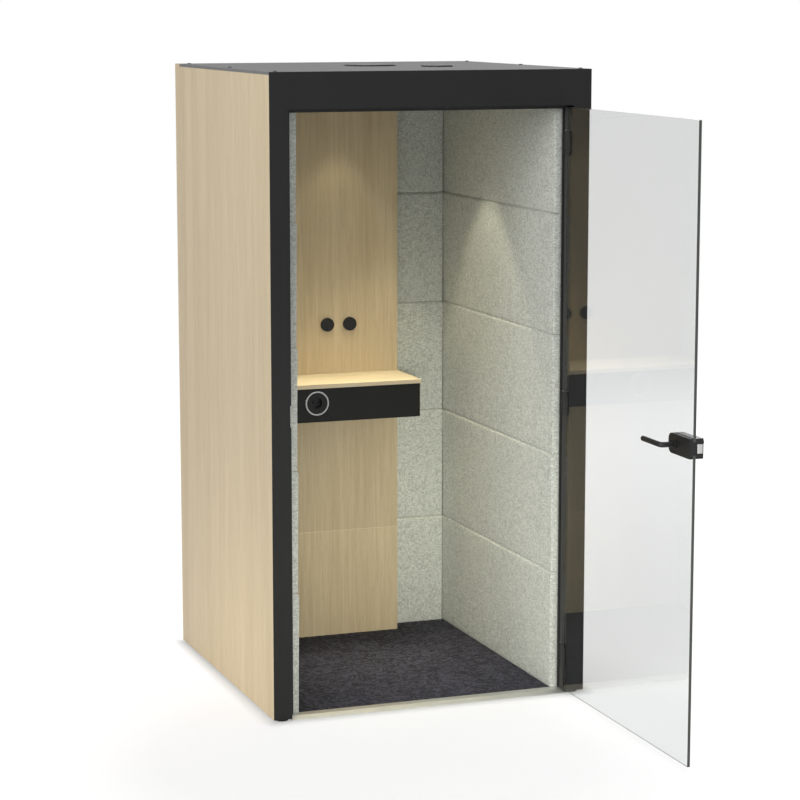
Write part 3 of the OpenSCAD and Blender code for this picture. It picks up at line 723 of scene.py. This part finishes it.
def carpet_tree(material):
    """Lifts a grid's points by rounded clumps of loops."""
    tree = bpy.data.node_groups.new("carpet clumps", "GeometryNodeTree")
    tree.interface.new_socket("Geometry", in_out="INPUT", socket_type="NodeSocketGeometry")
    tree.interface.new_socket("Clump size", in_out="INPUT", socket_type="NodeSocketFloat")
    tree.interface.new_socket("Pile height", in_out="INPUT", socket_type="NodeSocketFloat")
    tree.interface.new_socket("Geometry", in_out="OUTPUT", socket_type="NodeSocketGeometry")
    flow = Flow(tree)
    inlet = tree.nodes.new("NodeGroupInput")
    grid, size, height = (Flow(tree, inlet.outputs[i]) for i in range(3))
    cells = flow.node("ShaderNodeTexVoronoi", {"Scale": flow.math("DIVIDE", 1.0, size), "Smoothness": 0.3},
                      out="Distance", feature="SMOOTH_F1")
    lift = flow.node("ShaderNodeCombineXYZ", {"Z": (0.6 - cells.between(0.0, 0.6)) * height})
    raised = flow.node("GeometryNodeSetPosition", {"Geometry": grid, "Offset": lift})
    whole = flow.node("GeometryNodeRealizeInstances", {"Geometry": raised})
    whole = flow.node("GeometryNodeSetMaterial", {"Geometry": whole, "Material": material})
    outlet = tree.nodes.new("NodeGroupOutput")
    tree.links.new(whole.socket, outlet.inputs[0])
    return tree


def grow(source, tree, sizes):
    """The plain mesh that a Geometry Nodes tree makes from a source object, under the source's name."""
    maker = source.modifiers.new("maker", "NODES")
    maker.node_group = tree
    named = {i.name: i.identifier for i in tree.interface.items_tree if i.in_out == "INPUT"}
    for name, value in sizes.items():
        maker[named[name]] = value
    shown = source.evaluated_get(bpy.context.evaluated_depsgraph_get())
    mesh = bpy.data.meshes.new_from_object(shown)
    source.modifiers.remove(maker)
    source.data = mesh
    return source


def even(low, high):
    return np.linspace(low, high, round((high - low) / CARPET_STEP) + 1)


carpet_low, carpet_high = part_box("carpet")
duct_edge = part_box("duct_side")[1].x
duct_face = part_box("duct_front_lower")[0].y
xs = np.concatenate([even(carpet_low.x + EDGE_CLEAR, duct_edge + EDGE_CLEAR),
                     even(duct_edge + EDGE_CLEAR, carpet_high.x - EDGE_CLEAR)[1:]])
ys = np.concatenate([even(carpet_low.y + EDGE_CLEAR, duct_face - EDGE_CLEAR),
                     even(duct_face - EDGE_CLEAR, carpet_high.y - EDGE_CLEAR)[1:]])
points = [(x, y, carpet_high.z - PILE_HEIGHT) for x in xs for y in ys]
index = np.arange(len(points)).reshape(len(xs), len(ys))
faces = [(index[i, j], index[i + 1, j], index[i + 1, j + 1], index[i, j + 1])
         for i in range(len(xs) - 1) for j in range(len(ys) - 1)
         if xs[i + 1] > duct_edge + 2 * EDGE_CLEAR or ys[j + 1] < duct_face]
carpet_pile = carpet_finish()
carpet = add_mesh("laid_carpet", points, faces, carpet_pile)
cleaner = bmesh.new()
cleaner.from_mesh(carpet.data)
bmesh.ops.delete(cleaner, geom=[v for v in cleaner.verts if not v.link_faces], context="VERTS")
cleaner.to_mesh(carpet.data)
cleaner.free()
grow(carpet, carpet_tree(carpet_pile), {"Clump size": CLUMP_SIZE, "Pile height": PILE_HEIGHT})
backing = carpet.modifiers.new("backing", "SOLIDIFY")
backing.thickness = BACKING_T
backing.offset = -1
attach(carpet, "cabin")
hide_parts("carpet")
print("carpet of", len(carpet.data.polygons), "faces")

# %% [markdown]
# ## Levers
#
# Each lever is one bent tube: out from a round rose at the lock, round a bend and along to a domed end. A
# poly curve holds the path, and the radius at each of its points makes the rose and the dome.

# %% Levers
GRIP_R = 0.009
ROSE_R = 0.013
ROSE_T = 0.004
ROSE_EDGE = 0.0006
NECK_STEP = 0.0001
BEND_R = 0.0105
TIP_R = 0.0004
FACE_GAP = 0.0003
BEND_STEPS = 10
DOME_STEPS = 8
TUBE_ROUND = 7
SHARP_ANGLE = math.radians(40)


def quarter(steps):
    """Sines and cosines of angles from 0 to a right angle."""
    turns = [step / steps * math.pi / 2 for step in range(steps + 1)]
    return [(math.sin(turn), math.cos(turn)) for turn in turns]


def lever_path(face_x, grip_x, start_y, end_y, z):
    """Points with radii from the lock's face to the grip's end. The dome's radii follow a quarter circle."""
    out = 1 if grip_x > face_x else -1
    rose = ((FACE_GAP, ROSE_R), (ROSE_T - ROSE_EDGE, ROSE_R), (ROSE_T, ROSE_R - ROSE_EDGE),
            (ROSE_T + NECK_STEP, GRIP_R))
    path = [(face_x + out * reach, start_y, radius) for reach, radius in rose]
    for sine, cosine in quarter(BEND_STEPS):
        path.append((grip_x - out * BEND_R * (1 - sine), start_y + BEND_R * (1 - cosine), GRIP_R))
    for sine, cosine in quarter(DOME_STEPS):
        path.append((grip_x, end_y - GRIP_R * (1 - sine), max(GRIP_R * cosine, TIP_R)))
    return [((x, y, z), radius) for x, y, radius in path]


def tube(name, path, material):
    """A closed mesh round a path of points and radii."""
    curve = bpy.data.curves.new(name, "CURVE")
    curve.dimensions = "3D"
    curve.bevel_depth = 1.0
    curve.bevel_resolution = TUBE_ROUND
    curve.use_fill_caps = True
    spline = curve.splines.new("POLY")
    spline.points.add(len(path) - 1)
    for point, (place, radius) in zip(spline.points, path):
        point.co = (*place, 1)
        point.radius = radius
    bent = bpy.data.objects.new(name, curve)
    scene.collection.objects.link(bent)
    mesh = bpy.data.meshes.new_from_object(bent.evaluated_get(bpy.context.evaluated_depsgraph_get()))
    bpy.data.objects.remove(bent)
    mesh.materials.clear()
    mesh.materials.append(material)
    mesh.polygons.foreach_set("use_smooth", [True] * len(mesh.polygons))
    mesh.set_sharp_from_angle(angle=SHARP_ANGLE)
    made = bpy.data.objects.new(name, mesh)
    scene.collection.objects.link(made)
    return made


for side, cover in (("inner", "lock_inner_cover"), ("outer", "lock_outer_body")):
    low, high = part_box(f"lever_{side}")
    cover_low, cover_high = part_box(cover)
    if side == "inner":
        face_x, grip_x = cover_low.x, low.x + GRIP_R
    else:
        face_x, grip_x = cover_high.x, high.x - GRIP_R
    path = lever_path(face_x, grip_x, low.y + ROSE_R, high.y, (low.z + high.z) / 2)
    lever = tube(f"bent_lever_{side}", path, hardware_black)
    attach(lever, "lever")
    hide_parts(f"lever_{side}")
print("two levers with", len(lever.data.polygons), "faces each")

# %% [markdown]
# ## Screws, the door's edge strip and the duct's edge band
#
# Repeats come from Geometry Nodes: one tree puts a screw head with a hexagonal hole on each point of a
# mesh. It makes the hinge plates' clamp screws and the roof's edge screws. A thin dark strip wraps the
# glass along its hinge edge, between the hinges. A wooden band lies on the duct's lower board and slopes
# back in the seam, so it catches the light, and its veneer is also painted far paler, a painted highlight
# along the seam.

# %% Screws, edge strip and edge band
CLAMP_HEAD = (0.0042, 0.0012, 0.0022)
CLAMP_RISE = 0.022
CLAMP_IN = 0.014
PLATE_T = 0.003
HINGE_HALF = 0.043
MIDDLE_HINGE_Z = 1.058
ROOF_HEAD_R = 0.007
ROOF_HEAD_HOLE = 0.0035
HEAD_SIDES = 28
HOLE_SIDES = 6
STRIP_T = 0.0003
STRIP_W = 0.022
STRIP_END = 0.0005
STRIP_GAP = 0.002
BAND_CLEAR = 0.0001
BAND_SLOPE = 0.0016
BAND_OUT = 0.0006


def head_tree(material):
    tree = bpy.data.node_groups.new("screw heads", "GeometryNodeTree")
    for name, kind in (("Points", "Geometry"), ("Radius", "Float"), ("Height", "Float"), ("Hole", "Float"),
                       ("Turn", "Rotation")):
        tree.interface.new_socket(name, in_out="INPUT", socket_type=f"NodeSocket{kind}")
    tree.interface.new_socket("Geometry", in_out="OUTPUT", socket_type="NodeSocketGeometry")
    flow = Flow(tree)
    inlet = tree.nodes.new("NodeGroupInput")
    places, radius, height, hole, turn = (Flow(tree, inlet.outputs[i]) for i in range(5))
    head = flow.node("GeometryNodeMeshCylinder", {"Vertices": HEAD_SIDES, "Radius": radius, "Depth": height})
    drill = flow.node("GeometryNodeMeshCylinder",
                      {"Vertices": HOLE_SIDES, "Radius": hole, "Depth": 2 * height})
    holed = flow.node("GeometryNodeMeshBoolean", {0: head, 1: drill}, operation="DIFFERENCE")
    heads = flow.node("GeometryNodeInstanceOnPoints", {"Points": places, "Instance": holed, "Rotation": turn})
    heads = flow.node("GeometryNodeRealizeInstances", {"Geometry": heads})
    heads = flow.node("GeometryNodeSetMaterial", {"Geometry": heads, "Material": material})
    outlet = tree.nodes.new("NodeGroupOutput")
    tree.links.new(heads.socket, outlet.inputs[0])
    return tree


def screw_heads(name, places, sizes, turn, material):
    radius, height, hole = sizes
    heads = add_mesh(name, places, [], material)
    return grow(heads, head_tree(material), {"Radius": radius, "Height": height, "Hole": hole, "Turn": turn})


def prism_faces(count, first=0):
    """The faces of a prism with count points at each end, the first of which is first."""
    ends = [tuple(first + i for i in reversed(range(count))), tuple(first + count + i for i in range(count))]
    sides = [(first + i, first + (i + 1) % count, first + count + (i + 1) % count, first + count + i)
             for i in range(count)]
    return ends + sides


leaf_low, leaf_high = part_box("hinge_frame_leaves")
glass_low, glass_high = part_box("door_glass")
hinge_zs = [leaf_low.z + HINGE_HALF, MIDDLE_HINGE_Z, leaf_high.z - HINGE_HALF]
clamp_xs = (glass_low.x - PLATE_T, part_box("hinge_outer_plates")[1].x)
clamp_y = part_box("hinge_door_leaves")[0].y + CLAMP_IN
clamp_places = [(x, clamp_y, z + rise) for z in hinge_zs for rise in (-CLAMP_RISE, CLAMP_RISE)
                for x in clamp_xs]
clamps = screw_heads("hinge_clamp_screws", clamp_places, CLAMP_HEAD, (0, math.pi / 2, 0), hardware_black)
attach(clamps, "door")

low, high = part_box("roof_screws")
roof_xs = (low.x + ROOF_HEAD_R, high.x - ROOF_HEAD_R)
roof_ys = (low.y + ROOF_HEAD_R, (low.y + high.y) / 2, high.y - ROOF_HEAD_R)
roof_places = [(x, y, (low.z + high.z) / 2) for x in roof_xs for y in roof_ys]
roof_head = (ROOF_HEAD_R, high.z - low.z, ROOF_HEAD_HOLE)
roof_heads = screw_heads("roof_edge_screws", roof_places, roof_head, (0, 0, 0), cover_grey)
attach(roof_heads, "cabin")
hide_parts("roof_screws")

in_x, out_x, edge_y = glass_low.x, glass_high.x, glass_high.y
strip_y = edge_y - STRIP_W
section = [(in_x - STRIP_T, strip_y), (in_x - STRIP_T, edge_y + STRIP_T),
           (out_x + STRIP_T, edge_y + STRIP_T), (out_x + STRIP_T, strip_y),
           (out_x, strip_y), (out_x, edge_y), (in_x, edge_y), (in_x, strip_y)]
hinge_ends = [z + d for z in hinge_zs for d in (-HINGE_HALF - STRIP_GAP, HINGE_HALF + STRIP_GAP)]
ends = [glass_low.z + STRIP_END, *hinge_ends, glass_high.z - STRIP_END]
strip_points = []
strip_faces = []
for bottom, top in zip(ends[::2], ends[1::2]):
    strip_faces += prism_faces(len(section), len(strip_points))
    strip_points += [(x, y, z) for z in (bottom, top) for x, y in section]
strip = add_mesh("glass_edge_strip", strip_points, strip_faces, strip_grey, smooth=False)
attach(strip, "door")

board_low, board_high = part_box("duct_front_lower")
bottom = board_high.z + BAND_CLEAR
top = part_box("duct_front_upper")[0].z - BAND_CLEAR
front = board_low.y - BAND_OUT
section = [(front, bottom), (board_high.y, bottom), (board_high.y, top), (front + BAND_SLOPE, top)]
band_points = [(x, y, z) for x in (board_low.x, board_high.x) for y, z in section]
# Painted highlight: the band wears the paler veneer, standing for light caught along the seam.
band = add_mesh("duct_edge_band", band_points, prism_faces(len(section)), band_wood_painted_highlight, smooth=False)
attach(band, "cabin")
print(len(clamps.data.polygons), "faces of clamp screws, and the strip has", len(ends) // 2, "lengths")

# %% [markdown]
# ## Sizes
#
# The dressed pod has to stay the size of the CAD model, so the script prints how far the dressed pod's box
# grew past the CAD model's box at the top.

# %% Sizes and finish
visual_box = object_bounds()
growth = [round(1000 * (after - before), 2) for before, after in zip(cad_box[1], visual_box[1])]
print("visual box grew by", growth, "mm at the top")
